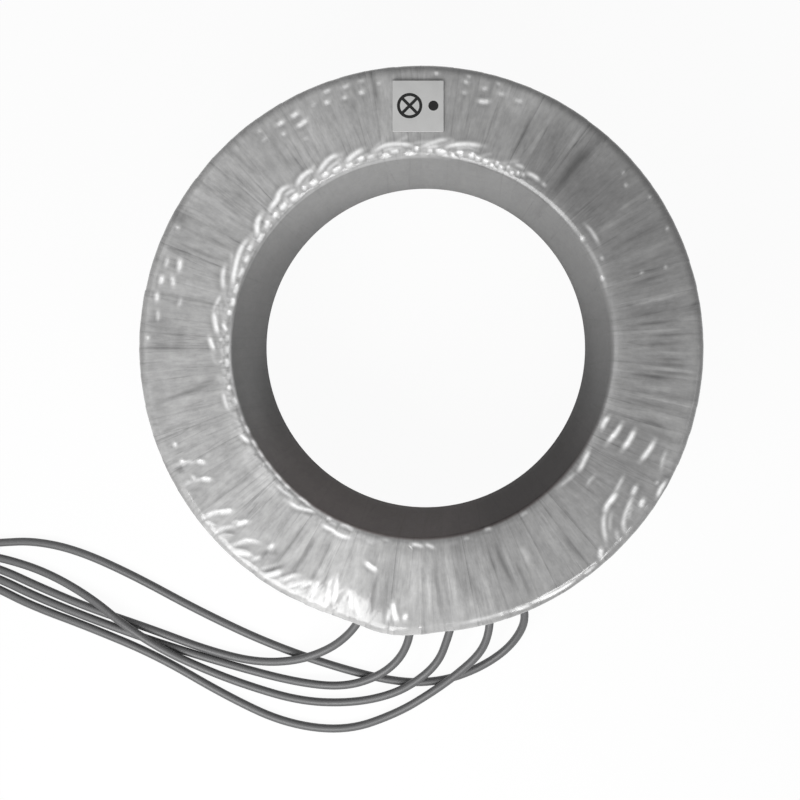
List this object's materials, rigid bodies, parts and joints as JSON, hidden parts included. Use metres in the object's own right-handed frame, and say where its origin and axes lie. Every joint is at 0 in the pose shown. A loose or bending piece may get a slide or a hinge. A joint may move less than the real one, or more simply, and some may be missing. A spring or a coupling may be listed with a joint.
{
  "type": "bushing current transformer",
  "caption": "Ring-shaped current transformer bound in wrinkled glossy film tape, with a smooth through bore, a square polarity label on its face and flexible leads.",
  "frame": {"origin": "on the bore's axis, in the plane of the bottom face", "axes": "+Z along the bore's axis, up through the labelled face; +Y towards the label; the leads leave low on the -Y side and run off towards -X"},
  "size_m": [0.5157, 0.3748, 0.1151],
  "materials": {
    "film_tape": "glossy, wrinkled",
    "label_plate": "satin",
    "lead_insulation": "matte",
    "sleeving": "matte",
    "tie_nylon": "satin",
    "tinned_ferrule": "satin",
    "packing_felt": "matte, fibrous",
    "enamelled_copper": "satin enamel",
    "section_film": "glossy",
    "core_tape": "glossy",
    "pressboard": "matte",
    "silicon_steel": "brushed"
  },
  "bodies": {
    "root": {"coil_tie_1": "tie_nylon", "coil_tie_2": "tie_nylon", "core": "silicon_steel", "core_edge_ring_bottom": "pressboard", "core_edge_ring_top": "pressboard", "core_inner_collar": "pressboard", "core_outer_collar": "pressboard", "core_wrap": "core_tape", "lead_1": "lead_insulation", "lead_2": "lead_insulation", "lead_3": "lead_insulation", "lead_4": "lead_insulation", "lead_5": "lead_insulation", "lead_coil": "lead_insulation", "lead_sleeve_1": "sleeving", "lead_sleeve_2": "sleeving", "lead_sleeve_3": "sleeving", "lead_sleeve_4": "sleeving", "lead_sleeve_5": "sleeving", "outer_tape_wrap": "film_tape", "packing_band": "packing_felt", "polarity_label": "label_plate", "section_insulation_1": "section_film", "section_insulation_2": "section_film", "section_insulation_3": "section_film", "tap_ferrule_1": "tinned_ferrule", "tap_ferrule_2": "tinned_ferrule", "tap_ferrule_3": "tinned_ferrule", "tap_ferrule_4": "tinned_ferrule", "tap_ferrule_5": "tinned_ferrule", "winding_section_1": "enamelled_copper", "winding_section_2": "enamelled_copper", "winding_section_3": "enamelled_copper", "winding_section_4": "enamelled_copper"}
  },
  "joints": []
}
